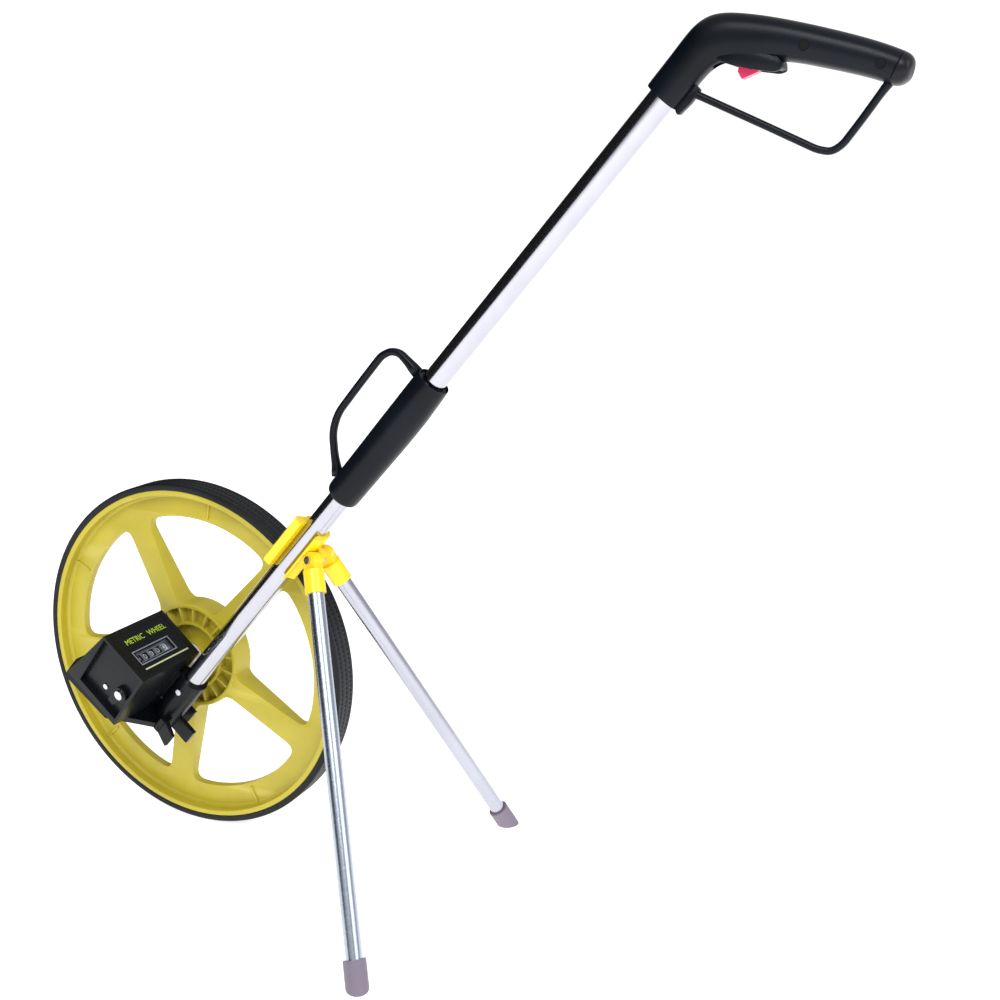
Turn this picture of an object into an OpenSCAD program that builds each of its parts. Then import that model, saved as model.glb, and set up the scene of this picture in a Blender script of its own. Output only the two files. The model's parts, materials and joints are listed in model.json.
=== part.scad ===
// Measuring wheel on a folding shaft, with a counter, a two-legged stand and a hand grip.
// X is the way the wheel rolls, towards the handle. Y is along the axle, away from the counter.
// The floor is z = 0. Pieces on the shaft are drawn in the shaft's own frame:
// x behind the shaft, y across it, z up along it from the height of the axle.

/* [Wheel] */
// Outer diameter of the tyre, one metre round
wheel_d = 318; // [310:1:326]
// Diameter that the tyre is pressed on
rim_d = 305.2; // [300:0.1:306]
// Width of the tyre
tyre_w = 24.2; // [20:0.1:26]
// Radius of the outer ends of the five windows
window_r = 127.5; // [118:0.5:132]
// Outer radius of the hub ring
hub_r = 47.5; // [44:0.5:52]
// Number of spokes
spokes = 5; // [4:1:6]
// Turn of the first spoke above the rolling direction
spoke_turn = 43; // [0:1:72]
// Width of a spoke where it meets the rim
spoke_w = 25; // [18:0.5:28]

/* [Shaft] */
// Lean of the shaft from upright
lean = 41; // [38:0.5:44]
// How far behind the axle the shaft crosses the axle's height
shaft_x = 31.3; // [30:0.1:34]
// Distance from the wheel's middle plane to the shaft
shaft_gap = 32; // [31:0.5:34]
// Outer radius of the shaft tubes
tube_r = 9.15; // [8.5:0.05:9.15]
// Wall of the shaft tubes
tube_wall = 1.2; // [0.8:0.1:1.6]
// Height of the folding pin along the shaft
fold_z = 236; // [234:1:240]
// Length of the locking sleeve
sleeve_len = 126; // [110:1:127]
// Height of the grip's collar along the shaft
collar_z = 612.5; // [606:0.5:618]

/* [Stand] */
// Distance of the feet behind the axle
foot_x = 263.7; // [255:0.1:270]
// Half the distance between the feet
foot_half = 132; // [120:1:140]
// Diameter of the leg tubes
leg_d = 13; // [11:0.5:13]
// Diameter of the rubber feet
foot_d = 17.5; // [15:0.5:17.5]

/* [Counter] */
// Length of the counter housing across the wheel
box_y = 73; // [72:0.5:74]
// Depth of the label face
box_x = 51; // [50:0.5:52]
// Number of digits
digits = 5; // [5:1:5]

/* [Hidden] */
$fn = 72;

wheel_r = wheel_d / 2;
rim_r = rim_d / 2;
lip_half = tyre_w / 2 - 0.2;
shaft_y = -shaft_gap;
axle_x = -shaft_x * cos(lean);     // the axle in the shaft's frame
axle_z = -shaft_x * sin(lean);
fit = 0.05;                        // radial running clearance

// counter, in the shaft's frame
box_back = -13.7;
box_front = box_back - box_x;
box_wheel_side = -25;
box_end = box_wheel_side - box_y;
box_top = 5.7;
base_top = -62;
base_low = -68;
wall = 2.2;
gear_teeth = 16;
gear_pitch_r = 8;
drum_x = -34;
drum_z = axle_z + sqrt(pow(2 * gear_pitch_r, 2) - pow(drum_x - axle_x, 2));
drum_r = 10.2;
drum_pitch = 7.8;
drum_y = -46;
pinion_x = drum_x - 14.3;
pinion_z = drum_z - 7.2;
crank_x = -11;
crank_z = -50;
lever_x = -25.2;
lever_drop = 36.7;                 // below the top edge of the end face
panel_screw = [-41, 0, -47.7];
end_wall = 8.2;
end_slope = 8;                     // the end face leans in towards its foot
gear_y0 = -33;
gear_y1 = -27.6;
mesh_turn = atan2(drum_z - axle_z, drum_x - axle_x);

// folding joint and sleeve
pin_y = shaft_y - 9.35;
knuckle_r = 2;
sleeve_low = 229;
sleeve_bore = 12.4;

// grip
trigger_x = 24;
trigger_z = 663;
grip_screw_at = [[51, 692], [93, 712.5]];

// stand
leg_pin_x = 17;
leg_pin_y = 9.2;
leg_pin_z = 172;
bracket_low = 140;
bracket_len = 50;

function world_to_shaft(p) = [(p[0] - shaft_x) * cos(lean) - (p[2] - wheel_r) * sin(lean), p[1],
                              (p[0] - shaft_x) * sin(lean) + (p[2] - wheel_r) * cos(lean)];

module shaft_frame() {
    translate([shaft_x, 0, wheel_r]) rotate([0, lean, 0]) children();
}

// Frame of the wheel: z points to the counter side, x to the handle, y up.
module wheel_frame() {
    translate([0, 0, wheel_r]) rotate([90, 0, 0]) children();
}

module ring(outer, inner, low, high) {
    translate([0, 0, low]) difference() {
        cylinder(r = outer, h = high - low);
        translate([0, 0, -1]) cylinder(r = inner, h = high - low + 2);
    }
}

// A cylinder along y between two heights, in the shaft's frame.
module cross_rod(x, z, y0, y1, r) {
    translate([x, y1, z]) rotate([90, 0, 0]) cylinder(r = r, h = y1 - y0);
}

// A plate cut from an outline of [x, z] points, between two heights of y.
module side_plate(points, y0, y1) {
    translate([0, y1, 0]) rotate([90, 0, 0]) linear_extrude(y1 - y0) polygon(points);
}

module gear_outline(teeth, pitch_r) {
    step = 360 / teeth;
    polygon([for (k = [0:teeth - 1], c = [[-0.27, -1.15], [-0.125, 0.8], [0.125, 0.8], [0.27, -1.15]])
             (pitch_r + c[1]) * [cos((k + c[0]) * step), sin((k + c[0]) * step)]]);
}

// ---- wheel ----

module spoke(k) {
    a = spoke_turn + k * 360 / spokes;
    rotate([90, 0, a]) linear_extrude(spoke_w, center = true)
        polygon([[hub_r - 1.4, 6.6], [window_r + 4, 2], [window_r + 4, -3.6], [hub_r - 1.4, -14.6]]);
}

module wheel() {
    color("gold") wheel_frame() {
        difference() {
            union() {
                ring(rim_r, rim_r - 5, -lip_half, lip_half);
                ring(rim_r - 3.6, window_r, -4, 3);
                ring(hub_r, hub_r - 3, -17, 7);
                ring(hub_r - 2, 9, -6, -2);
                ring(31, 28.5, -16.5, 6.2);
                ring(13, 5, -17, 6);
                for (k = [0:spokes - 1]) spoke(k);
                for (k = [0:17]) rotate(k * 20 + 5) translate([29.6, -0.9, -16]) cube([hub_r - 31.2, 1.8, 21.4]);
                for (k = [0:spokes - 1]) rotate(spoke_turn + (k + 0.5) * 360 / spokes)
                    translate([window_r + 5, -0.7, 2]) cube([rim_r - 8 - window_r, 1.4, 2.7]);
            }
            translate([0, 0, -30]) cylinder(r = 8.01, h = 60);
        }
    }
}

module tyre() {
    color("dimgray") wheel_frame() difference() {
        rotate_extrude($fn = 144) polygon([[rim_r, -tyre_w / 2], [wheel_r - 1.2, -tyre_w / 2],
            [wheel_r, -tyre_w / 2 + 1.4], [wheel_r, tyre_w / 2 - 1.4], [wheel_r - 1.2, tyre_w / 2], [rim_r, tyre_w / 2]]);
        for (z = [-6, 0, 6]) ring(wheel_r + 1, wheel_r - 0.8, z - 0.6, z + 0.6);
    }
}

module hub_bush_inner() {
    color("ivory") wheel_frame() {
        ring(8, 4.05, 0, 6.5);
        ring(11, 4.05, 6, 8);
    }
}

module hub_bush_outer() {
    color("ivory") wheel_frame() {
        ring(8, 4.05, -17.5, -3);
        ring(11, 4.05, -19, -17);
    }
}

module drive_gear() {
    color("white") wheel_frame() difference() {
        union() {
            translate([0, 0, 8]) cylinder(r = 7, h = -gear_y0 - 8);
            translate([0, 0, -gear_y1]) rotate(mesh_turn - lean) linear_extrude(gear_y1 - gear_y0)
                gear_outline(gear_teeth, gear_pitch_r);
        }
        cylinder(r = 4.05, h = 40);
    }
}

// ---- axle ----

module axle() {
    color("silver") wheel_frame() {
        translate([0, 0, -25.5]) cylinder(r = 4, h = 66.5);
        translate([0, 0, 41]) cylinder(r = 6, h = 2.5);
    }
}

module axle_nut() {
    color("silver") wheel_frame() difference() {
        translate([0, 0, -24.5]) cylinder(r = 7, h = 4, $fn = 6);
        translate([0, 0, -26]) cylinder(r = 4.01, h = 8);
    }
}

module axle_washers() {
    color("silver") wheel_frame() {
        ring(9, 4.01, -20.5, -19.4);
        ring(6.5, 4.01, 33.4, 34.6);
    }
}

// ---- counter ----

function cover_outline(m, foot = 0) = [[box_front + m, box_top - m], [box_back - m, box_top - m],
    [box_back - m, base_top + foot], [box_front - 12 + m, base_top + foot], [box_front - 7 + m, -36]];

module counter_base() {
    color("black") shaft_frame() difference() {
        union() {
            // base plate below the housing, running out to the leg clip
            translate([0, 0, base_low]) linear_extrude(base_top - base_low)
                polygon([[-77, -88], [-25, -85], [9, -44], [9, box_wheel_side + 12], [-16, box_wheel_side],
                         [-83, box_wheel_side], [-83.5, -72]]);
            // wall on the wheel's side
            side_plate(cover_outline(wall + 0.1, -0.1), box_wheel_side - wall, box_wheel_side);
            // tube socket and the web that joins it to the housing
            translate([0, shaft_y, base_low]) cylinder(r = 12.4, h = 56);
            translate([box_back - wall, shaft_y - 6, base_top - 0.1]) cube([8, 12, 48]);
            // boss that grips the axle
            cross_rod(axle_x, axle_z, -41, -34.7, 7.5);
            translate([axle_x, -38, axle_z - 4]) cube([box_back - wall - axle_x + 1, 3.3, 8]);
            // cradle for the folded legs: a middle prong between them and a short one each side
            translate([4, shaft_y - 19.1, base_low]) cube([5, 38.2, 14]);
            translate([8, shaft_y - 2.2, base_low]) cube([23, 4.4, 14]);
            translate([4, shaft_y + 16.1, base_low]) cube([11.2, 3, 14]);
            translate([0, shaft_y, base_low]) linear_extrude(14)
                polygon([[8, -12.8], [9.5, -13.4], [24, -20.2], [23.2, -23.2], [8, -18.2]]);
        }
        // bore for the lower tube
        translate([0, shaft_y, -36]) cylinder(r = tube_r, h = 60);
        // pocket for the reset crank
        translate([-18, shaft_y - 2, -60]) cube([26, 4, 26]);
        // axle hole, and the way in for the hub's gear
        cross_rod(axle_x, axle_z, -60, -20, 4.01);
        cross_rod(axle_x, axle_z, -34.7, -20, 9.6);
        // ends of the drum and pinion shafts, and room for the drum gear
        cross_rod(drum_x, drum_z, -50, -20, 2);
        cross_rod(pinion_x, pinion_z, -50, -20, 1.5);
        // crank pin and set screw
        cross_rod(crank_x, crank_z, -50, -14, 1.5);
        translate([0, shaft_y - 5, -24]) rotate([90, 0, 0]) cylinder(r = 1.6, h = 12);
    }
}

// Frame of the sloping end face: x as the shaft's, y into the housing, z up from the top edge.
module end_frame() {
    translate([0, box_end, box_top]) rotate([end_slope, 0, 0]) children();
}

module counter_cover() {
    color("black") shaft_frame() difference() {
        side_plate(cover_outline(0, 0.05), box_end, box_wheel_side);
        // hollow inside, open below and towards the wheel
        intersection() {
            side_plate(cover_outline(wall, -1), box_end, box_wheel_side + 1);
            end_frame() translate([-100, end_wall, -90]) cube([100, 90, 130]);
        }
        end_frame() {
            translate([-100, -30, -90]) cube([100, 30, 90.01]);
            // sunk end face
            translate([box_front + 2, -1, -62]) cube([box_x - 4.5, 7.8, 59.5]);
            translate([lever_x, 0, -lever_drop]) rotate([-90, 0, 0]) cylinder(r = 1.5, h = 9);
            translate(panel_screw) rotate([-90, 0, 0]) cylinder(r = 1.4, h = 9);
        }
        // sunk label and the window through the top
        translate([box_front + 5, box_end + 5, box_top - 0.8]) cube([box_x - 10, box_y - 10, 2]);
        translate([drum_x - 6, -84.5, box_top - wall - 1]) cube([12, 41.5, 6]);
        // room for the web that joins the socket to the base
        translate([box_back - wall - 1, shaft_y - 6.3, base_top - 1]) cube([8, 12.6, 49.4]);
    }
}

module end_panel() {
    color([0.08, 0.08, 0.09]) shaft_frame() end_frame() difference() {
        translate([box_front + 2.2, 5, -61.8]) cube([box_x - 4.9, 1.8, 59.1]);
        translate([lever_x, 0, -lever_drop]) rotate([-90, 0, 0]) cylinder(r = 1.5, h = 9);
        translate(panel_screw) rotate([-90, 0, 0]) cylinder(r = 1.4, h = 9);
    }
}

module label_plate() {
    color([0.12, 0.12, 0.13]) shaft_frame() difference() {
        translate([box_front + 5.2, box_end + 5.2, box_top - 0.8]) cube([box_x - 10.4, box_y - 10.4, 0.6]);
        translate([drum_x - 5.2, -83.5, box_top - 2]) cube([10.4, 39.5, 4]);
    }
}

module window_lens() {
    color("lightblue", 0.4) shaft_frame()
        translate([drum_x - 5.8, -84.3, box_top - wall]) cube([11.6, 41.1, 1.4]);
}

// Outline of the plates that carry the drum and pinion shafts.
function frame_plate() = [[drum_x - 6.5, 2.4], [drum_x + 6.5, 2.4], [drum_x + 6.5, drum_z - 4],
    [drum_x - 4, drum_z - 8], [pinion_x, pinion_z - 4], [pinion_x - 4, pinion_z], [pinion_x - 3, pinion_z + 4]];

module counter_frame() {
    color("silver") shaft_frame() difference() {
        union() {
            translate([drum_x - 6.5, -86.2, box_top - wall - 1.2]) cube([13, 43.7, 1.2]);
            for (y = [-86.2, -43.5]) side_plate(frame_plate(), y, y + 1);
        }
        for (k = [0:digits - 1]) translate([drum_x - 3.6, drum_y - k * drum_pitch - 6.5, box_top - wall - 3])
            cube([7.2, 5.6, 4]);
        cross_rod(drum_x, drum_z, -60, -30, 4.4);
        cross_rod(drum_x, drum_z, -95, -60, 2);
        cross_rod(pinion_x, pinion_z, -95, -20, 1.5);
    }
}

module cover_screws() {
    color("silver") shaft_frame() {
        for (p = [[-70, -80], [-30, -78], [-70, -34]]) translate([p[0], p[1], base_low - 1.2])
            cylinder(r = 3, h = 1.2);
        end_frame() translate(panel_screw) rotate([-90, 0, 0]) {
            translate([0, 0, 3.8]) cylinder(r = 2.4, h = 1.2);
            translate([0, 0, 3.8]) cylinder(r = 1.4, h = 4);
        }
    }
}

module drum(k) {
    high = drum_y - (k - 1) * drum_pitch;
    color("black") shaft_frame() difference() {
        union() {
            cross_rod(drum_x, drum_z, high - 7.4, high, drum_r);
            if (k == 1) {
                cross_rod(drum_x, drum_z, high - 0.1, gear_y0 + 0.1, 4);
                translate([drum_x, gear_y1, drum_z]) rotate([90, 0, 0]) rotate(mesh_turn + 180 + 180 / gear_teeth)
                    linear_extrude(gear_y1 - gear_y0) gear_outline(gear_teeth, gear_pitch_r);
            }
        }
        cross_rod(drum_x, drum_z, -95, -20, 2.05);
    }
}

module drum_shaft() {
    color("silver") shaft_frame() cross_rod(drum_x, drum_z, -86.6, box_wheel_side - 0.2, 2);
}

module pinion(k) {
    y = drum_y - k * drum_pitch + 0.2;
    color("white") shaft_frame() difference() {
        translate([pinion_x, y + 2, pinion_z]) rotate([90, 0, 0]) linear_extrude(4) gear_outline(8, 4);
        cross_rod(pinion_x, pinion_z, -95, -20, 1.55);
    }
}

module pinion_shaft() {
    color("silver") shaft_frame() cross_rod(pinion_x, pinion_z, -86.6, box_wheel_side - 0.2, 1.5);
}

module reset_lever() {
    color("black") shaft_frame() end_frame() translate([lever_x, 0, -lever_drop]) difference() {
        union() {
            translate([0, 1.2, 0]) rotate([-90, 0, 0]) cylinder(r = 6.5, h = 3.4);
            side_plate([[-5.5, 2], [5, -3], [-1, -17], [-7, -16]], 1.6, 4.4);
        }
        rotate([-90, 0, 0]) cylinder(r = 1.55, h = 9);
    }
}

module lever_screw() {
    color("silver") shaft_frame() end_frame() translate([lever_x, 0, -lever_drop]) rotate([-90, 0, 0]) {
        translate([0, 0, -0.6]) cylinder(r = 4, h = 1.5);
        cylinder(r = 1.5, h = 8);
    }
}

module reset_crank() {
    color("silver") shaft_frame() difference() {
        side_plate([[-14, -54], [-8, -54], [3, -45], [3, -41.6], [-2, -41.6], [-9, -46.5], [-13, -46]],
                   shaft_y - 1.5, shaft_y + 1.5);
        cross_rod(crank_x, crank_z, -50, -14, 1.55);
    }
}

module crank_pin() {
    color("silver") shaft_frame() cross_rod(crank_x, crank_z, shaft_y - 5.8, shaft_y + 5.8, 1.5);
}

module socket_screw() {
    color("silver") shaft_frame() translate([0, shaft_y, -24]) rotate([90, 0, 0]) {
        translate([0, 0, tube_r]) cylinder(r = 1.6, h = 3.5);
        translate([0, 0, 12.5]) cylinder(r = 2.6, h = 1.4);
    }
}

// ---- shaft ----

module tube(z0, z1) {
    translate([0, shaft_y, z0]) difference() {
        cylinder(r = tube_r, h = z1 - z0);
        translate([0, 0, -1]) cylinder(r = tube_r - tube_wall, h = z1 - z0 + 2);
    }
}

module lower_tube() {
    color("silver") shaft_frame() tube(-36, fold_z - 10);
}

module lower_rod() {
    color("gray") shaft_frame() translate([0, shaft_y, -40.8]) cylinder(r = 1.5, h = fold_z + 40.4);
}

module upper_rod() {
    color("gray") shaft_frame() translate([0, shaft_y, fold_z + 0.1]) cylinder(r = 1.5, h = 659 - fold_z);
}

// Two plugs hinged on one side of the tubes: ears on the lower one, a tongue on the upper.
module knuckle(x0, x1) {
    translate([x0, pin_y, fold_z]) rotate([0, 90, 0]) cylinder(r = knuckle_r, h = x1 - x0, $fn = 48);
}

module lower_hinge() {
    color([0.2, 0.2, 0.22]) shaft_frame() difference() {
        union() {
            translate([0, shaft_y, fold_z - 40]) cylinder(r = tube_r - tube_wall, h = 31);
            translate([0, shaft_y, fold_z - 10]) cylinder(r = tube_r, h = 9.6);
            for (s = [-1, 1]) {
                knuckle(min(s * 2.2, s * 4), max(s * 2.2, s * 4));
                translate([s * 3.1 - 0.9, pin_y, fold_z - 6]) cube([1.8, 3, 5.6]);
            }
        }
        translate([-2.2, pin_y - 3, fold_z - 2.6]) cube([4.4, 5.6, 6]);
        translate([0, shaft_y, fold_z - 41]) cylinder(r = 1.55, h = 50);
        translate([-5, pin_y, fold_z]) rotate([0, 90, 0]) cylinder(r = 1, h = 10);
    }
}

module upper_hinge() {
    color([0.2, 0.2, 0.22]) shaft_frame() difference() {
        union() {
            translate([0, shaft_y, fold_z + 9.9]) cylinder(r = tube_r - tube_wall, h = 31);
            translate([0, shaft_y, fold_z]) cylinder(r = tube_r, h = 10);
            knuckle(-1.8, 1.8);
            translate([-1.8, pin_y, fold_z]) cube([3.6, 3, 6]);
        }
        for (s = [-1, 1]) translate([s * 3.4 - 1.6, pin_y - 3, fold_z - 3]) cube([3.2, 5.6, 5.6]);
        translate([0, shaft_y, fold_z - 5]) cylinder(r = 1.55, h = 50);
        translate([-5, pin_y, fold_z]) rotate([0, 90, 0]) cylinder(r = 1.05, h = 10);
    }
}

module fold_pin() {
    color("silver") shaft_frame() translate([-4, pin_y, fold_z]) rotate([0, 90, 0]) cylinder(r = 1, h = 8);
}

module upper_tube() {
    color("silver") shaft_frame() tube(fold_z + 10.1, 648);
}

// Outside of the sleeve, solid.
module sleeve_body() {
    rotate_extrude() polygon([[0, 0], [sleeve_bore, 0], [13.6, 0.6], [14.4, 8], [15.2, 40], [15.3, 70],
                              [14.2, 105], [13.4, sleeve_len - 1], [12.9, sleeve_len], [0, sleeve_len]]);
}

module locking_sleeve() {
    color("black") shaft_frame() translate([0, shaft_y, sleeve_low]) difference() {
        sleeve_body();
        translate([0, 0, -1]) cylinder(r = sleeve_bore, h = 41);
        translate([0, 0, 54]) cylinder(r = sleeve_bore, h = 46);
        translate([0, 0, 114]) cylinder(r = sleeve_bore, h = 20);
        // two rings inside guide the sleeve on the upper tube
        cylinder(r = tube_r + fit, h = sleeve_len);
    }
}

module carry_loop() {
    outer = [[-14.8, 233], [-29, 245.1], [-40.6, 259.3], [-46.8, 275.3], [-47.3, 305], [-47.1, 338.5],
             [-41.7, 349.5], [-34.8, 354.5], [-14, 353.8]];
    inner = [[-16, 251.7], [-20.7, 250.6], [-28.8, 256.7], [-35.7, 264.3], [-41.5, 278], [-41.5, 312.3],
             [-41.2, 343.4], [-36.1, 347.7], [-20.3, 347.2], [-14.4, 344.2]];
    color("black") shaft_frame() difference() {
        side_plate(concat(outer, [[-12, 353], [-12, 234]]), shaft_y - 2.9, shaft_y + 2.9);
        side_plate(concat(inner, [[-10, 344], [-10, 252]]), shaft_y - 4, shaft_y + 4);
        translate([0, shaft_y, sleeve_low]) sleeve_body();
        translate([0, shaft_y, sleeve_low - 5]) cylinder(r = sleeve_bore, h = sleeve_len + 10);
    }
}

// ---- stand ----

function leg_pin(side) = [leg_pin_x, shaft_y + side * leg_pin_y, leg_pin_z];

// Places a piece drawn down from the leg's pivot. Closed, the leg lies along the shaft; open, its foot
// is on the floor. The frame's y is the pivot's own axis.
module leg_frame(side) {
    shaft_frame() translate(leg_pin(side)) rotate(a = leg_swing(side), v = leg_axis(side))
        rotate(atan2(leg_axis(side)[1], leg_axis(side)[0]) - 90) children();
}

// From the pivot to the foot, in the shaft's frame.
function leg_reach(side) = world_to_shaft([foot_x, shaft_y + side * foot_half, 0]) - leg_pin(side);
function leg_len(side) = norm(leg_reach(side));
function leg_axis(side) = cross([0, 0, -1], leg_reach(side)) / norm(cross([0, 0, -1], leg_reach(side)));
function leg_swing(side) = acos(-leg_reach(side)[2] / leg_len(side));

module stand_bracket() {
    color("gold") difference() {
        shaft_frame() difference() {
            union() {
                translate([0, shaft_y, bracket_low]) cylinder(r = 12.6, h = bracket_len);
                // lips of the clamp
                translate([0, shaft_y, bracket_low]) linear_extrude(bracket_len) {
                    polygon([[-12.4, 0], [-16.4, -9], [-14.6, -12.9], [-8, -12.9], [-8, 0]]);
                    polygon([[12.4, 0], [12.4, -6], [9.6, -12.9], [8, -12.9], [8, 0]]);
                }
                // web that carries the two leg pins
                translate([0, shaft_y, leg_pin_z - 7]) linear_extrude(14)
                    polygon([[9, -0.3], [12, -1.45], [20.5, -5.4], [20.5, 5.4], [12, 1.45], [9, 0.3]]);
            }
            translate([0, shaft_y, bracket_low - 1]) cylinder(r = tube_r, h = bracket_len + 2);
            translate([-7, shaft_y - 20, bracket_low - 1]) cube([14, 20, bracket_len + 2]);
            for (s = [-1, 1]) translate([leg_pin_x, shaft_y + s * leg_pin_y, bracket_low - 1])
                cylinder(r = 8.7, h = leg_pin_z - bracket_low + 1);
        }
        for (s = [-1, 1]) leg_frame(s) rotate([90, 0, 0]) {
            cylinder(r = 7.4, h = 9.8, center = true);
            cylinder(r = 2, h = 14, center = true);
        }
    }
}

// Each pin is fixed in the web and has its head on the outer side of its socket.
module leg_pins() {
    color("silver") for (s = [-1, 1]) leg_frame(s) rotate([s * 90, 0, 0]) {
        translate([0, 0, -7]) cylinder(r = 2, h = 13);
        translate([0, 0, 4.9]) cylinder(r = 3.2, h = 1.3);
    }
}

module leg_socket(side) {
    color("gold") leg_frame(side) difference() {
        union() {
            rotate([90, 0, 0]) cylinder(r = 7, h = 9, center = true);
            translate([-6.5, -4.5, -9]) cube([13, 9, 9]);
            translate([0, 0, -27]) cylinder(r = 8.3, h = 19);
        }
        translate([0, 0, -28]) cylinder(r = leg_d / 2 + 0.01, h = 19);
        rotate([90, 0, 0]) cylinder(r = 2.05, h = 30, center = true);
    }
}

module leg_tube(side) {
    length = leg_len(side);
    color("silver") leg_frame(side) translate([0, 0, -length + 4]) difference() {
        cylinder(r = leg_d / 2, h = length - 13);
        translate([0, 0, -1]) cylinder(r = leg_d / 2 - 0.9, h = length - 11);
    }
}

module foot(side) {
    length = leg_len(side);
    color("gray") difference() {
        leg_frame(side) difference() {
            translate([0, 0, -length - 8]) cylinder(r = foot_d / 2, h = 28);
            translate([0, 0, -length + 4]) cylinder(r = leg_d / 2, h = 30);
        }
        translate([foot_x - 40, shaft_y + side * foot_half - 40, -30]) cube([80, 80, 30]);
    }
}

module near_leg_socket() leg_socket(-1);
module far_leg_socket() leg_socket(1);
module near_leg() leg_tube(-1);
module far_leg() leg_tube(1);
module near_foot() foot(-1);
module far_foot() foot(1);

// ---- grip ----

// Side outline of the grip, drawn in by a margin all round.
function grip_outline(m) = [[-12.4 + m, 640], [-13.2 + m, 654], [-11 + m, 665 - m / 2], [-4 + m, 674 - m],
    [8, 682 - m], [22, 691 - m], [38, 700 - m], [56, 708.5 - m], [76, 718 - m], [92, 724.5 - m], [100 - m, 726 - m],
    [106 - m, 722 - m], [108 - m, 714], [103 - m, 707 + m], [84, 698 + m], [66, 688.5 + m], [47, 678.5 + m],
    [38, 669 + m], [27, 662 + m], [19 - m, 656 + m], [13.5 - m, 650], [12.4 - m, 640]];

module grip_body() {
    for (layer = [[0, 8.5], [1.6, 11.2], [3.6, 13.2]])
        side_plate(grip_outline(layer[0]), shaft_y - layer[1], shaft_y + layer[1]);
    translate([0, shaft_y, collar_z]) cylinder(r = 12.6, h = 36);
    side_plate([[8, 630], [16.5, 630], [16, 611], [12, 613]], shaft_y - 3, shaft_y + 3);
}

module grip_hollow() {
    translate([0, shaft_y, collar_z - 1]) cylinder(r = tube_r, h = 649 - collar_z);
    translate([0, shaft_y, 640]) cylinder(r = 2.2, h = 20);
    side_plate([[14, 645], [45, 658], [45, 676], [38, 682], [-6, 670], [-6, 652.5], [14, 652.5]],
               shaft_y - 4.4, shaft_y + 4.4);
    side_plate([[50, 686], [52, 699], [92, 716.5], [94.5, 711]], shaft_y - 9, shaft_y + 9);
    cross_rod(trigger_x, trigger_z, shaft_y - 8, shaft_y + 8, 1.5);
    cross_rod(trigger_x, trigger_z, shaft_y + 4.3, shaft_y + 7.6, 3.2);
    for (p = grip_screw_at) {
        cross_rod(p[0], p[1], shaft_y - 20, shaft_y + 11.5, 1.5);
        cross_rod(p[0], p[1], shaft_y - 20, shaft_y - 11, 3.2);
    }
}

module near_grip_shell() {
    color([0.1, 0.12, 0.16]) shaft_frame() difference() {
        grip_body();
        grip_hollow();
        translate([-50, shaft_y, 600]) cube([200, 40, 200]);
        grip_cap_cut();
    }
}

module far_grip_shell() {
    color([0.1, 0.12, 0.16]) shaft_frame() difference() {
        grip_body();
        grip_hollow();
        translate([-50, shaft_y - 40, 600]) cube([200, 40, 200]);
        grip_cap_cut();
    }
}

module grip_cap_cut() {
    side_plate([[98, 740], [104.5, 700], [125, 700], [125, 740]], shaft_y - 20, shaft_y + 20);
}

module grip_cap() {
    color("black") shaft_frame() intersection() {
        grip_body();
        grip_cap_cut();
    }
}

module grip_screws() {
    color("silver") shaft_frame() for (p = grip_screw_at) {
        cross_rod(p[0], p[1], shaft_y - 11.1, shaft_y + 11.4, 1.5);
        cross_rod(p[0], p[1], shaft_y - 12.8, shaft_y - 11, 3);
    }
}

module hand_guard() {
    outer = [[12, 622], [16.9, 626], [61, 639.8], [98.3, 651], [106.5, 655.6], [109.2, 664.5], [107.5, 683.1],
             [105.4, 701.6], [105, 712]];
    inner = [[100, 712], [101, 701], [103.2, 683], [104.8, 666], [103, 659.5], [97, 655], [60, 644], [15.6, 630.4], [10, 629]];
    color("black") shaft_frame() difference() {
        side_plate(concat(outer, inner), shaft_y - 3, shaft_y + 3);
        grip_body();
    }
}

module trigger() {
    color("red") shaft_frame() difference() {
        side_plate([[21, 666], [27, 666], [36, 668], [38, 663], [33, 653.5], [28, 655], [25, 660], [-2.5, 659.5],
                    [-2.5, 662], [14, 664]], shaft_y - 3.8, shaft_y + 3.8);
        cross_rod(trigger_x, trigger_z, shaft_y - 10, shaft_y + 10, 1.55);
    }
}

module trigger_pin() {
    color("silver") shaft_frame() cross_rod(trigger_x, trigger_z, shaft_y - 8, shaft_y + 8, 1.5);
}

module trigger_spring() {
    color("silver") shaft_frame() for (k = [0:2]) difference() {
        cross_rod(trigger_x, trigger_z, shaft_y + 4.8 + k * 0.9, shaft_y + 5.6 + k * 0.9, 2.9);
        cross_rod(trigger_x, trigger_z, shaft_y + 4, shaft_y + 9, 1.8);
    }
}

// ---- pieces ----

wheel();
tyre();
hub_bush_inner();
hub_bush_outer();
drive_gear();
axle();
axle_nut();
axle_washers();
counter_base();
counter_cover();
end_panel();
label_plate();
window_lens();
counter_frame();
cover_screws();
drum(1);  // drum_1
drum(2);  // drum_2
drum(3);  // drum_3
drum(4);  // drum_4
drum(5);  // drum_5
drum_shaft();
pinion(1);  // pinion_1
pinion(2);  // pinion_2
pinion(3);  // pinion_3
pinion(4);  // pinion_4
pinion_shaft();
reset_lever();
lever_screw();
reset_crank();
crank_pin();
socket_screw();
lower_tube();
lower_rod();
lower_hinge();
fold_pin();
stand_bracket();
leg_pins();
near_leg_socket();
near_leg();
near_foot();
far_leg_socket();
far_leg();
far_foot();
upper_hinge();
upper_tube();
upper_rod();
locking_sleeve();
carry_loop();
near_grip_shell();
far_grip_shell();
grip_cap();
grip_screws();
hand_guard();
trigger();
trigger_pin();
trigger_spring();
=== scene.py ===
import bmesh
import bpy
import json
import math
from mathutils import Matrix, Vector

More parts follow.
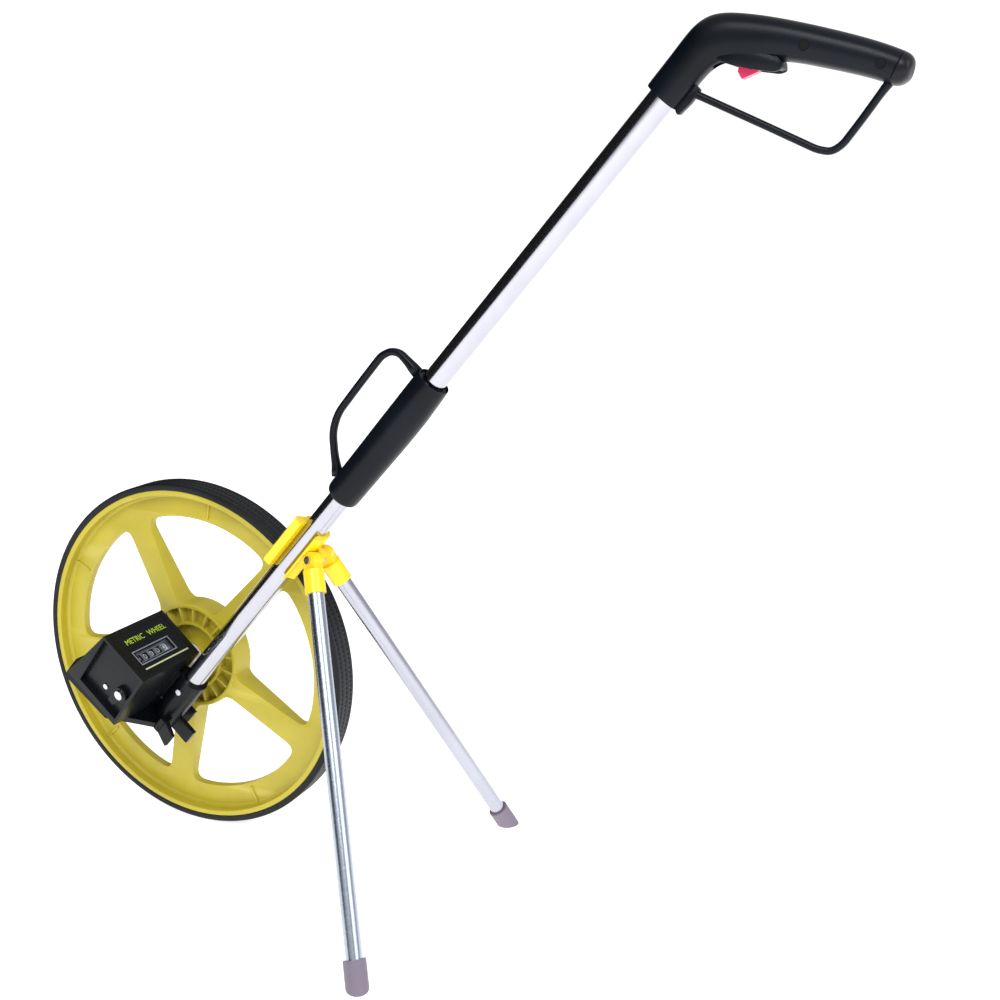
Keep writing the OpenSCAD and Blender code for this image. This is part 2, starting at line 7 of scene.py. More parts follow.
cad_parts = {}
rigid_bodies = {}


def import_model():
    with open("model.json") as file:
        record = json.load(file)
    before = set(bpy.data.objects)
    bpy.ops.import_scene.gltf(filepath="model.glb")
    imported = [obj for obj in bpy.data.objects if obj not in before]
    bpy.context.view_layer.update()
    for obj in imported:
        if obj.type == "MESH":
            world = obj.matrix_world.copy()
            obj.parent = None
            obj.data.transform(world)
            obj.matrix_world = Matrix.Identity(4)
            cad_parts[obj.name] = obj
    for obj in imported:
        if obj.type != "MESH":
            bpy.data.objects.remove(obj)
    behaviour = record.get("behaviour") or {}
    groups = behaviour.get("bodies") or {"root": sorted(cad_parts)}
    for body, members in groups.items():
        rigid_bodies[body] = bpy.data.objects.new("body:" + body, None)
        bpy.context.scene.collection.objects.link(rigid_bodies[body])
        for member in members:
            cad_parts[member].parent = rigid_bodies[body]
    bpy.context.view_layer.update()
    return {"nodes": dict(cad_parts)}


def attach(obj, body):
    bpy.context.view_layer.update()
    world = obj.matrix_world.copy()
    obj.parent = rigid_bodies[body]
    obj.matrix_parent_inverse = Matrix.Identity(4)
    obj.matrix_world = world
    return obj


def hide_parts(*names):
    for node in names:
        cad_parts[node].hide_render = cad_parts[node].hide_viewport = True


# Looks of a measuring wheel. Sizes are in millimetres.
# The shaft's own frame has x behind the shaft, y across it, z up along it.
for old in list(bpy.data.objects):
    bpy.data.objects.remove(old)
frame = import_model()
nodes = frame["nodes"]
mm = 0.001
lean = math.radians(41)
shaftM = Matrix.Translation((0.0313, 0, 0.159)) @ Matrix.Rotation(lean, 4, "Y")
shaftY = -32
quarterX = Matrix.Rotation(math.radians(90), 4, "X")
wheelM = Matrix.Translation((0, 0, 0.159)) @ quarterX
# for outlines drawn in the shaft's x and z, and pushed out along y
sideM = shaftM @ Matrix.Translation((0, shaftY * mm, 0)) @ quarterX
scene = bpy.context.scene


# finishes, each a Principled shader over noise in Object coordinates

def finish(name, color, rough, metal=0.0, grain=400.0, grainBump=0.05, tone=0.06, wear=0.1,
           coat=0.0, streak=None, spread=0.08, edge=None, shine=0.5):
    mat = bpy.data.materials.new(name)
    mat.use_nodes = True
    tree = mat.node_tree
    tree.nodes.clear()
    new, link = tree.nodes.new, tree.links.new
    out = new("ShaderNodeOutputMaterial")
    shader = new("ShaderNodeBsdfPrincipled")
    link(shader.outputs["BSDF"], out.inputs["Surface"])
    coord = new("ShaderNodeTexCoord")
    place = new("ShaderNodeMapping")
    link(coord.outputs["Object"], place.inputs["Vector"])
    if streak:
        place.inputs["Rotation"].default_value = (0, -lean, 0)
        place.inputs["Scale"].default_value = streak
    broad = new("ShaderNodeTexNoise")
    broad.inputs["Scale"].default_value = 14
    broad.inputs["Detail"].default_value = 4
    fine = new("ShaderNodeTexNoise")
    fine.inputs["Scale"].default_value = grain
    fine.inputs["Detail"].default_value = 3
    for noise in (broad, fine):
        link(place.outputs["Vector"], noise.inputs["Vector"])
    ramp = new("ShaderNodeValToRGB")
    low = [c * (1 - tone) for c in color]
    high = [min(1, c * (1 + tone) + tone * 0.01) for c in color]
    ramp.color_ramp.elements[0].color = (*low, 1)
    ramp.color_ramp.elements[1].color = (*high, 1)
    ramp.color_ramp.elements[0].position = 0.35
    ramp.color_ramp.elements[1].position = 0.65
    link(broad.outputs["Fac"], ramp.inputs["Fac"])
    base = ramp.outputs["Color"]
    # worn edges read a little lighter
    geometry = new("ShaderNodeNewGeometry")
    worn = new("ShaderNodeMapRange")
    worn.inputs["From Min"].default_value = 0.52
    worn.inputs["From Max"].default_value = 0.62
    worn.inputs["To Max"].default_value = wear
    link(geometry.outputs["Pointiness"], worn.inputs["Value"])
    mix = new("ShaderNodeMix")
    mix.data_type = "RGBA"
    link(worn.outputs["Result"], mix.inputs["Factor"])
    link(base, mix.inputs["A"])
    mix.inputs["B"].default_value = (*(edge or [min(1, c * 1.5 + 0.03) for c in color]), 1)
    link(mix.outputs["Result"], shader.inputs["Base Color"])
    roughness = new("ShaderNodeMapRange")
    roughness.inputs["To Min"].default_value = max(0.02, rough - spread)
    roughness.inputs["To Max"].default_value = min(1, rough + spread)
    link(fine.outputs["Fac"], roughness.inputs["Value"])
    link(roughness.outputs["Result"], shader.inputs["Roughness"])
    bump = new("ShaderNodeBump")
    bump.inputs["Strength"].default_value = grainBump
    bump.inputs["Distance"].default_value = 0.0004
    link(fine.outputs["Fac"], bump.inputs["Height"])
    link(bump.outputs["Normal"], shader.inputs["Normal"])
    shader.inputs["Metallic"].default_value = metal
    shader.inputs["Specular IOR Level"].default_value = shine
    shader.inputs["Coat Weight"].default_value = coat
    shader.inputs["Coat Roughness"].default_value = 0.12
    return mat


def glassFinish(name):
    mat = finish(name, (0.95, 0.97, 0.97), 0.06, grain=60, grainBump=0.01, spread=0.03, wear=0)
    shader = next(n for n in mat.node_tree.nodes if n.type == "BSDF_PRINCIPLED")
    shader.inputs["Transmission Weight"].default_value = 1.0
    shader.inputs["IOR"].default_value = 1.02
    return mat


olive = finish("olive yellow plastic", (0.50, 0.415, 0.026), 0.42, tone=0.1, grain=900, grainBump=0.08, wear=0.25,
               edge=(0.8, 0.72, 0.2))
brightYellow = finish("bright yellow plastic", (0.95, 0.64, 0.003), 0.3, grain=700, tone=0.03, coat=0.2)
blackPlastic = finish("black plastic", (0.003, 0.004, 0.006), 0.28, shine=0.16,
                      grain=1400, grainBump=0.12, tone=0.2, wear=0.12)
panelBlack = finish("panel black", (0.002, 0.003, 0.005), 0.28, shine=0.14, grain=900, tone=0.2, wear=0.08)
tyreRubber = finish("tyre rubber", (0.005, 0.006, 0.009), 0.5, shine=0.22,
                    grain=1100, grainBump=0.25, tone=0.3, wear=0.3)
gripRubber = finish("grip rubber", (0.002, 0.0035, 0.007), 0.3, shine=0.17,
                    grain=1800, grainBump=0.15, tone=0.2, wear=0.08)
capPlastic = finish("grip end plastic", (0.006, 0.006, 0.009), 0.3, shine=0.2, grain=900, tone=0.15, wear=0.08)
darkScrew = finish("dark screw", (0.004, 0.004, 0.005), 0.5, shine=0.1, grain=500)
footRubber = finish("foot rubber", (0.17, 0.14, 0.19), 0.5, grain=1200, grainBump=0.2, tone=0.15, wear=0.3)
polished = finish("polished aluminium", (0.47, 0.47, 0.53), 0.13, metal=1, grain=260, grainBump=0.02, tone=0.03,
                  streak=(6, 6, 0.3), spread=0.04)
# the two legs are one aluminium in two copies whose tints are painted shade: the near leg's bluer grey is painted
# blue-grey shading
nearLegShadeTintedMetal = finish("near leg aluminium", (0.40, 0.45, 0.54), 0.26, metal=1,
                      grain=300, grainBump=0.03, tone=0.05, spread=0.06)
farLegShadeTintedMetal = finish("far leg aluminium", (0.43, 0.435, 0.50), 0.26, metal=1,
                     grain=300, grainBump=0.03, tone=0.05, spread=0.06)
steel = finish("bright steel", (0.62, 0.63, 0.65), 0.28, metal=1, grain=500, tone=0.06)
hingeMetal = finish("hinge casting", (0.25, 0.25, 0.27), 0.45, metal=1, grain=700, grainBump=0.15, tone=0.1)
whitePlastic = finish("white plastic", (0.82, 0.81, 0.77), 0.4, grain=600, tone=0.03)
redPlastic = finish("red plastic", (0.68, 0.012, 0.10), 0.3, grain=700, tone=0.05, coat=0.3)
limeInk = finish("lime ink", (0.42, 0.62, 0.03), 0.45, grain=500, tone=0.05, wear=0)
paleInk = finish("pale ink", (0.55, 0.6, 0.35), 0.5, grain=500, tone=0.05, wear=0)
drumBlack = finish("drum black", (0.01, 0.012, 0.016), 0.4, grain=500, tone=0.1)
digitWhite = finish("digit white", (0.85, 0.87, 0.9), 0.5, grain=500, tone=0.03, wear=0)
frameGrey = finish("counter frame grey", (0.3, 0.33, 0.4), 0.35, metal=0.6, grain=500, tone=0.06)
clear = glassFinish("clear window")


# mesh tools, working in millimetres

def link(obj):
    scene.collection.objects.link(obj)
    return obj


def meshObject(name, verts, faces, matrix, mats, smooth=True, levels=0):
    mesh = bpy.data.meshes.new(name)
    mesh.from_pydata([matrix @ Vector([c * mm for c in v]) for v in verts], [], faces)
    mesh.update()
    work = bmesh.new()
    work.from_mesh(mesh)
    bmesh.ops.remove_doubles(work, verts=work.verts, dist=1e-6)
    bmesh.ops.recalc_face_normals(work, faces=work.faces)
    work.to_mesh(mesh)
    work.free()
    for m in mats if isinstance(mats, (list, tuple)) else [mats]:
        mesh.materials.append(m)
    obj = link(bpy.data.objects.new(name, mesh))
    for p in mesh.polygons:
        p.use_smooth = smooth
    if levels:
        sub = obj.modifiers.new("rounding", "SUBSURF")
        sub.levels = sub.render_levels = levels
    return obj


def lathe(name, profile, matrix, mat, steps=96, at=(0, 0), angle=35):
    # a closed outline of [radius, height] turned about z
    verts, faces, n = [], [], len(profile)
    for k in range(steps):
        a = 2 * math.pi * k / steps
        verts += [(at[0] + r * math.cos(a), at[1] + r * math.sin(a), z) for r, z in profile]
    for k in range(steps):
        for i in range(n):
            j, q = (i + 1) % n, (k + 1) % steps
            faces.append((k * n + i, k * n + j, q * n + j, q * n + i))
    obj = meshObject(name, verts, faces, matrix, mat)
    softEdges(obj, angle)
    return obj


def softEdges(obj, angle=35):
    obj.data.set_sharp_from_angle(angle=math.radians(angle))


def smooth(obj, angle):
    for p in obj.data.polygons:
        p.use_smooth = True
    softEdges(obj, angle)


def rounded(outline, radius, steps=4):
    # cuts the corners of a closed outline back to arcs
    result, n = [], len(outline)
    for i, p in enumerate(outline):
        a, b, c = Vector(outline[i - 1]), Vector(p), Vector(outline[(i + 1) % n])
        r = radius if not isinstance(radius, (list, tuple)) else radius[i]
        d = min(r, (a - b).length * 0.45, (c - b).length * 0.45)
        s, e = b + (a - b).normalized() * d, b + (c - b).normalized() * d
        for k in range(steps + 1):
            t = k / steps
            result.append(tuple((1 - t) ** 2 * s + 2 * t * (1 - t) * b + t * t * e))
    return result


def applied(obj):
    # the evaluated shape as a plain mesh
    view = bpy.context.evaluated_depsgraph_get()
    view.update()
    made = bpy.data.meshes.new_from_object(obj.evaluated_get(view))
    return made


def settle(obj, smoothAngle=None):
    # freezes modifiers or a curve into a plain mesh at the origin
    mesh = applied(obj)
    name, world = obj.name, obj.matrix_world.copy()
    mesh.transform(world)
    bpy.data.objects.remove(obj)
    mesh.name = name
    made = link(bpy.data.objects.new(name, mesh))
    for p in mesh.polygons:
        p.use_smooth = True
    if smoothAngle:
        softEdges(made, smoothAngle)
    return made


def joined(name, objs):
    work = bmesh.new()
    mats = []
    for o in objs:
        before = len(work.faces)
        work.from_mesh(o.data)
        work.faces.ensure_lookup_table()
        slots = []
        for m in o.data.materials:
            if m not in mats:
                mats.append(m)
            slots.append(mats.index(m))
        for f in work.faces[before:]:
            f.material_index = slots[min(f.material_index, len(slots) - 1)] if slots else 0
    mesh = bpy.data.meshes.new(name)
    work.to_mesh(mesh)
    work.free()
    for m in mats:
        mesh.materials.append(m)
    for o in objs:
        bpy.data.objects.remove(o)
    return link(bpy.data.objects.new(name, mesh))


def sweep(name, path, radius, matrix, mat, flat=1.0, corner=6, tips=None):
    # a bar along an open path of points, with rounded corners
    pts = [Vector(p) for p in path]
    run = [pts[0]]
    for a, b, c in zip(pts, pts[1:], pts[2:]):
        d = min(corner, (a - b).length * 0.45, (c - b).length * 0.45)
        s, e = b + (a - b).normalized() * d, b + (c - b).normalized() * d
        run += [(1 - t) ** 2 * s + 2 * t * (1 - t) * b + t * t * e for t in (k / 6 for k in range(7))]
    run.append(pts[-1])
    verts, faces, n = [], [], 20
    for i, p in enumerate(run):
        ahead = (run[min(i + 1, len(run) - 1)] - run[max(i - 1, 0)]).normalized()
        side = Vector((0, 1, 0))
        up = ahead.cross(side).normalized()
        t = i / (len(run) - 1)
        r = radius * (1 + (tips or 0) * (abs(2 * t - 1) ** 6))
        for k in range(n):
            a = 2 * math.pi * k / n
            c, s = math.cos(a), math.sin(a)
            c, s = math.copysign(abs(c) ** 0.75, c), math.copysign(abs(s) ** 0.75, s)
            verts.append(tuple(p + up * r * flat * c + side * r * s))
    for i in range(len(run) - 1):
        for k in range(n):
            q = (k + 1) % n
            faces.append((i * n + k, i * n + q, (i + 1) * n + q, (i + 1) * n + k))
    faces += [tuple(range(n - 1, -1, -1)), tuple((len(run) - 1) * n + k for k in range(n))]
    return meshObject(name, verts, faces, matrix, mat)


def loft(name, stations, matrix, mat, power=2.5, n=32, levels=1):
    # cross-sections between an upper and a lower point in the shaft's x and z, each with a half width
    verts, faces = [], []
    for top, bottom, half in stations:
        t, b = Vector((top[0], 0, top[1])), Vector((bottom[0], 0, bottom[1]))
        mid, arm = (t + b) / 2, (t - b) / 2
        for k in range(n):
            a = 2 * math.pi * k / n
            c, s = math.cos(a), math.sin(a)
            c, s = math.copysign(abs(c) ** (2 / power), c), math.copysign(abs(s) ** (2 / power), s)
            p = mid + arm * c
            verts.append((p.x, shaftY + half * s, p.z))
    for i in range(len(stations) - 1):
        for k in range(n):
            q = (k + 1) % n
            faces.append((i * n + k, i * n + q, (i + 1) * n + q, (i + 1) * n + k))
    return meshObject(name, verts, faces, matrix, mat, levels=levels)


def capped(obj):
    # closes the two open ends of a loft after it has been rounded
    work = bmesh.new()
    work.from_mesh(obj.data)
    bmesh.ops.holes_fill(work, edges=[e for e in work.edges if e.is_boundary])
    bmesh.ops.recalc_face_normals(work, faces=work.faces)
    work.to_mesh(obj.data)
    work.free()
    return obj


def ringArray(name, source, count, matrix, mat, turn=0.0):
    # copies of one piece round the z axis of a frame, made by geometry nodes
    tree = bpy.data.node_groups.new(name + " array", "GeometryNodeTree")
    face = tree.interface
    face.new_socket("Geometry", in_out="OUTPUT", socket_type="NodeSocketGeometry")
    face.new_socket("Source", in_out="INPUT", socket_type="NodeSocketObject")
    face.new_socket("Count", in_out="INPUT", socket_type="NodeSocketInt")
    face.new_socket("First turn", in_out="INPUT", socket_type="NodeSocketFloat")
    face.new_socket("Finish", in_out="INPUT", socket_type="NodeSocketMaterial")
    new, wire = tree.nodes.new, tree.links.new
    given, out = new("NodeGroupInput"), new("NodeGroupOutput")
    line = new("GeometryNodeMeshLine")
    line.mode = "OFFSET"
    line.inputs["Offset"].default_value = (0, 0, 0)
    wire(given.outputs["Count"], line.inputs["Count"])
    index = new("GeometryNodeInputIndex")
    part = new("ShaderNodeMath")
    part.operation = "DIVIDE"
    wire(index.outputs[0], part.inputs[0])
    wire(given.outputs["Count"], part.inputs[1])
    full = new("ShaderNodeMath")
    full.operation = "MULTIPLY_ADD"
    wire(part.outputs[0], full.inputs[0])
    full.inputs[1].default_value = 2 * math.pi
    wire(given.outputs["First turn"], full.inputs[2])
    spin = new("ShaderNodeCombineXYZ")
    wire(full.outputs[0], spin.inputs["Z"])
    info = new("GeometryNodeObjectInfo")
    wire(given.outputs["Source"], info.inputs["Object"])
    place = new("GeometryNodeInstanceOnPoints")
    wire(line.outputs["Mesh"], place.inputs["Points"])
    wire(info.outputs["Geometry"], place.inputs["Instance"])
    wire(spin.outputs["Vector"], place.inputs["Rotation"])
    real = new("GeometryNodeRealizeInstances")
    wire(place.outputs["Instances"], real.inputs["Geometry"])
    paint = new("GeometryNodeSetMaterial")
    wire(real.outputs["Geometry"], paint.inputs["Geometry"])
    wire(given.outputs["Finish"], paint.inputs["Material"])
    wire(paint.outputs["Geometry"], out.inputs["Geometry"])
    host = link(bpy.data.objects.new(name, bpy.data.meshes.new(name)))
    mod = host.modifiers.new("array", "NODES")
    mod.node_group = tree
    values = {"Source": source, "Count": count, "First turn": math.radians(turn), "Finish": mat}
    for item in face.items_tree:
        if item.in_out == "INPUT" and item.name in values:
            mod[item.identifier] = values[item.name]
    mesh = applied(host)
    mesh.transform(matrix)
    mesh.materials.clear()
    mesh.materials.append(mat)
    bpy.data.objects.remove(host)
    bpy.data.objects.remove(source)
    return link(bpy.data.objects.new(name, mesh))


def bar(name, corners, low, high, matrix=Matrix.Identity(4), mat=None, bevel=0.4):
    # a prism over an outline in x and y, with its edges taken off
    n = len(corners)
    verts = [(*c, low) for c in corners] + [(*c, high) for c in corners]
    faces = [tuple(range(n - 1, -1, -1)), tuple(range(n, 2 * n))]
    faces += [(i, (i + 1) % n, n + (i + 1) % n, n + i) for i in range(n)]
    obj = meshObject(name, verts, faces, matrix, mat or olive, smooth=False)
    work = bmesh.new()
    work.from_mesh(obj.data)
    if bevel:
        bmesh.ops.bevel(work, geom=work.edges[:], offset=bevel * mm, segments=2, affect="EDGES", profile=0.5)
    work.to_mesh(obj.data)
    work.free()
    return obj


def place(obj, body, slot, *replaced):
    obj.name = obj.name.replace(" ", "_")
    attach(obj, body)
    if replaced:
        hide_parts(*replaced)
    return obj


def dress(node, mat, bevel=0.4):
    # a CAD piece shown as it is, with its edges broken
    obj = nodes[node]
    obj.data.materials.clear()
    obj.data.materials.append(mat)
    for p in obj.data.polygons:
        p.use_smooth = True
    obj.data.set_sharp_from_angle(angle=math.radians(32))
    if bevel:
        edge = obj.modifiers.new("broken edges", "BEVEL")
        edge.width = bevel * mm
        edge.segments = 2
        edge.limit_method = "ANGLE"
        edge.angle_limit = math.radians(38)
        edge.harden_normals = False
        edge.use_clamp_overlap = True


print("finishes and tools ready")

# wheel casting and tyre

wheelLook = {
    "spokeCount": 5, "firstSpoke": 43, "windowCorner": 11, "windowOuter": 127.5, "windowInner": 47.3,
    "spokeHalfAtRim": 12.5, "spokeHalfAtHub": 9.8, "edgeRound": 0.9,
    "ribCount": 18, "treadBars": 240,
}


def wheelPlate():
    # rim face, spokes and hub face cut from one sheet, thicker towards the hub
    windows = []
    outerR, innerR, hubR = wheelLook["windowOuter"], wheelLook["windowInner"], 47.5
    w0, w1 = math.asin(wheelLook["spokeHalfAtRim"] / outerR), math.asin(wheelLook["spokeHalfAtHub"] / hubR)
    step = 360 / wheelLook["spokeCount"]
    for k in range(wheelLook["spokeCount"]):
        a0, a1 = (math.radians(wheelLook["firstSpoke"] + step * (k + j)) for j in (0, 1))
        outer = []
        for i in range(15):
            a = a0 + w0 + (a1 - a0 - 2 * w0) * i / 14
            outer.append((outerR * math.cos(a), outerR * math.sin(a)))
        inner = []
        for i in range(8):
            a = a1 - w1 - (a1 - a0 - 2 * w1) * i / 7
            inner.append((innerR * math.cos(a), innerR * math.sin(a)))

        def side(p, q):
            return [tuple(Vector(p).lerp(Vector(q), t)) for t in (0.2, 0.4, 0.6, 0.8)]

        windows.append(outer + side(outer[-1], inner[0]) + inner + side(inner[-1], outer[0]))
    curve = bpy.data.curves.new("wheel plate", "CURVE")
    curve.dimensions = "2D"
    curve.fill_mode = "BOTH"
    curve.extrude = 1.0

    def spline(points):
        s = curve.splines.new("POLY")
        s.points.add(len(points) - 1)
        for q, p in zip(s.points, points):
            q.co = (p[0], p[1], 0, 1)
        s.use_cyclic_u = True

    for radius, count in ((148.3, 180), (46, 90)):
        turns = [2 * math.pi * k / count for k in range(count)]
        spline([(radius * math.cos(a), radius * math.sin(a)) for a in turns])
    for loop in windows:
        corner = []
        n = len(loop)
        for i in range(n):
            a, b, c = Vector(loop[i - 1]), Vector(loop[i]), Vector(loop[(i + 1) % n])
            turn = (b - a).angle(c - b)
            corner.append(math.degrees(turn) > 30)
        pts = []
        keep = [not any(corner[(i + d) % n] for d in (-1, 0, 1)) or corner[i] for i in range(n)]
        thin = [loop[i] for i in range(n) if keep[i]]
        marks = [corner[i] for i in range(n) if keep[i]]
        m = len(thin)
        for i in range(m):
            b = Vector(thin[i])
            if not marks[i]:
                pts.append(tuple(b))
                continue
            a, c = Vector(thin[i - 1]), Vector(thin[(i + 1) % m])
            d = wheelLook["windowCorner"]
            s = b + (a - b).normalized() * min(d, (a - b).length * 0.9)
            e = b + (c - b).normalized() * min(d, (c - b).length * 0.9)
            steps = [j / 6 for j in range(7)]
            pts += [tuple((1 - t) ** 2 * s + 2 * t * (1 - t) * b + t * t * e) for t in steps]
        spline(pts)
    host = link(bpy.data.objects.new("wheel plate", curve))
    mesh = applied(host)
    bpy.data.objects.remove(host)
    work = bmesh.new()
    work.from_mesh(mesh)
    bmesh.ops.remove_doubles(work, verts=work.verts, dist=1e-4)
    for v in work.verts:
        r = math.hypot(v.co.x, v.co.y)
        t = max(0.0, min(1.0, (128.5 - r) / 80))
        v.co.z = (2.6 + 4.2 * t) if v.co.z > 0 else (-4 - 10.6 * t)
    bmesh.ops.recalc_face_normals(work, faces=work.faces)
    edges = [e for e in work.edges if len(e.link_faces) == 2 and e.calc_face_angle(0) > 0.9]
    bmesh.ops.bevel(work, geom=edges, offset=wheelLook["edgeRound"], segments=3, affect="EDGES", profile=0.5,
                    clamp_overlap=True)
    bmesh.ops.scale(work, vec=(mm, mm, mm), verts=work.verts)
    bmesh.ops.transform(work, matrix=wheelM, verts=work.verts)
    work.to_mesh(mesh)
    work.free()
    mesh.materials.clear()
    mesh.materials.append(olive)
    return link(bpy.data.objects.new("wheel plate", mesh))


rim = lathe("rim", rounded([(147.6, 2), (147.8, 11.9), (152.6, 11.9), (152.6, -11.9), (147.6, -11.9), (147.4, -3.6)],
                           0.9), wheelM, olive, 160)
rimFoot = lathe("rim foot", [(147.9, 5.2), (147.9, 2.2), (144.6, 2.4), (146.4, 3.1), (147.4, 4)],
                wheelM, olive, 160)
hubRing = lathe("hub ring", rounded([(44.4, 7), (47.5, 7), (48.4, 5), (48.4, -15), (47.5, -17), (44.4, -17)], 0.8),
                wheelM, olive, 96)
innerRing = lathe("inner ring", rounded([(28.5, 6.2), (31, 6.2), (31, -16.5), (28.5, -16.5)], 0.6),
                  wheelM, olive, 72)
hubFloor = lathe("hub floor", rounded([(9, -2), (45.5, -2), (45.5, -6), (9, -6)], 0.3), wheelM, olive, 72)
hubBoss = lathe("hub boss", rounded([(8.05, 6), (13, 6), (14.5, -2), (14.5, -6), (13, -17), (8.05, -17)], 0.6),
                wheelM, olive, 64)
rib = bar("rib", [(29.8, -0.95), (45.6, -0.95), (45.6, 0.95), (29.8, 0.95)], -15.6, 5.6, mat=olive, bevel=0.45)
ribs = ringArray("hub ribs", rib, wheelLook["ribCount"], wheelM, olive, turn=5)
mark = bar("mark", [(131, -0.8), (146.5, -0.8), (146.5, 0.8), (131, 0.8)], 1.8, 4.4, mat=olive, bevel=0.5)
marks = ringArray("rim marks", mark, wheelLook["spokeCount"], wheelM, olive, turn=wheelLook["firstSpoke"] + 36)
casting = joined("wheel casting",
                 [wheelPlate(), rim, rimFoot, hubRing, innerRing, hubFloor, hubBoss, ribs, marks])
smooth(casting, 40)
place(casting, "wheel", "wheel_plastic", "wheel")

tyreOutline = rounded([(152.65, -12.1), (157.4, -12.1), (158.4, -11.0), (158.4, -7.2), (157.4, -6.9), (157.4, -6.1),
                       (158.4, -5.8), (158.4, -0.7), (157.4, -0.4), (157.4, 0.4), (158.4, 0.7), (158.4, 5.8),
                       (157.4, 6.1), (157.4, 6.9), (158.4, 7.2), (158.4, 11.0), (157.4, 12.1), (152.65, 12.1)], 0.35, 2)
tyreBody = lathe("tyre body", tyreOutline, wheelM, tyreRubber, 200, angle=50)
block = bar("tread bar", [(157.9, -1.3), (158.3, -1.2), (158.3, 1.2), (157.9, 1.3)], -10.6, 10.6,
            mat=tyreRubber, bevel=0.25)
tread = ringArray("tread", block, wheelLook["treadBars"], wheelM, tyreRubber)
tyre = joined("tyre with tread", [tyreBody, tread])
smooth(tyre, 40)
place(tyre, "wheel", "tyre_rubber", "tyre")
for n in ("hub_bush_inner", "hub_bush_outer", "drive_gear"):
    dress(n, whitePlastic, 0.25)
print("wheel ready")

# counter, its label and its digits

counterLook = {"words": ("METRIC", "WHEEL"), "letterHeight": 5.2, "digitHeight": 5.0}


def letters(name, text, height, mat, depth=0.06):
    # flat letters with their reading direction along x, centred on the origin, in millimetres
    font = bpy.data.curves.new(name, "FONT")
    font.body = text
    font.align_x, font.align_y = "CENTER", "CENTER"
    font.size = height / 0.7
    font.extrude = depth
    font.resolution_u = 3
    host = link(bpy.data.objects.new(name, font))
    mesh = applied(host)
    bpy.data.objects.remove(host)
    mesh.materials.clear()
    mesh.materials.append(mat)
    return link(bpy.data.objects.new(name, mesh))


def setOn(obj, frameM, at, bend=None):
    # letters laid on a face of the counter: reading along y, up towards the front
    mesh = obj.data
    if bend:
        work = bmesh.new()
        work.from_mesh(mesh)
        for h in (-1.8, -0.9, 0.0, 0.9, 1.8):
            bmesh.ops.bisect_plane(work, geom=work.verts[:] + work.edges[:] + work.faces[:],
                                   plane_co=(0, h, 0), plane_no=(0, 1, 0))
        work.to_mesh(mesh)
        work.free()
    for v in mesh.vertices:
        x, y, z = v.co
        if bend:
            r, turn = bend
            a = turn + y / r
            v.co = ((at[0] - (r + z) * math.sin(a)) * mm, (at[1] + x) * mm, (at[2] + (r + z) * math.cos(a)) * mm)
        else:
            v.co = ((at[0] - y) * mm, (at[1] + x) * mm, (at[2] + z) * mm)
    mesh.transform(frameM)
    return obj


face = 5.55
band = []
for word, y in zip(counterLook["words"], (-73, -46)):
    t = letters("word", word, counterLook["letterHeight"], limeInk)
    width = max(v.co.x for v in t.data.vertices) - min(v.co.x for v in t.data.vertices)
    for v in t.data.vertices:
        v.co.x *= 21.5 / width
    band.append(setOn(t, shaftM, (-50.5, y, face)))
line = bar("line", [(-22.9, -86), (-21.6, -86), (-21.6, -32), (-22.9, -32)], 5.5, 5.62, shaftM, paleInk, 0)
border = []
borderBars = ((-41.2, -40.2, -85, -42), (-27.8, -26.8, -85, -42), (-41.2, -26.8, -86, -85), (-41.2, -26.8, -42.4, -41.4))
for x0, x1, y0, y1 in borderBars:
    border.append(bar("border", [(x0, y0), (x1, y0), (x1, y1), (x0, y1)], 5.5, 5.65, shaftM, frameGrey, 0))
labelPrint = joined("label print", band + [line] + border)
place(labelPrint, "frame", "label")

drumX, drumZ = -34.0, -20.535 + math.sqrt(256 - (-34 + 23.622) ** 2)
for k in range(1, 6):
    low = -46 - (k - 1) * 7.8 - 7.4
    light = k == 1
    cap = lathe("digit ring %d" % k, rounded([(9.7, 0.1), (10.26, 0.1), (10.26, 7.3), (9.7, 7.3)], 0.15, 2),
                shaftM @ Matrix.Translation((drumX * mm, (low + 7.4) * mm, drumZ * mm)) @ quarterX,
                digitWhite if light else drumBlack, 80)
    ring = [cap]
    for d in range(10):
        t = letters("digit", str(d), counterLook["digitHeight"], drumBlack if light else digitWhite, 0.03)
        ring.append(setOn(t, shaftM, (drumX, low + 3.7, drumZ), bend=(10.3, -d * 2 * math.pi / 10)))
    whole = joined("digits %d" % k, ring)
    place(whole, "drum_%d" % k, "digit_drum")
    dress("drum_%d" % k, drumBlack, 0.15)
for k in range(1, 5):
    dress("pinion_%d" % k, whitePlastic, 0)
dress("counter_base", blackPlastic, 0.7)
dress("counter_cover", blackPlastic, 0.8)
dress("end_panel", panelBlack, 0.3)
dress("counter_frame", frameGrey, 0.1)
dress("label_plate", panelBlack, 0.15)
dress("window_lens", clear, 0)
for n in ("axle", "axle_nut", "axle_washers", "cover_screws", "drum_shaft", "pinion_shaft", "lever_screw",
          "crank_pin", "socket_screw", "fold_pin", "leg_pins", "upper_rod", "lower_rod", "reset_crank",
          "trigger_pin", "trigger_spring"):
    dress(n, steel, 0.2)
dress("grip_screws", darkScrew, 0.2)
dress("reset_lever", blackPlastic, 0.4)
print("counter ready")

# shaft, sleeve and stand

dress("lower_tube", polished, 0.15)
dress("upper_tube", polished, 0.15)
dress("lower_hinge", hingeMetal, 0.2)
dress("upper_hinge", hingeMetal, 0.2)
dress("stand_bracket", brightYellow, 0.7)
for s in ("near", "far"):
    dress(s + "_leg_socket", brightYellow, 0.9)
    # each leg takes its own copy of the aluminium, tinted with painted shade
    dress(s + "_leg", nearLegShadeTintedMetal if s == "near" else farLegShadeTintedMetal, 0.1)
    dress(s + "_foot", footRubber, 1.2)

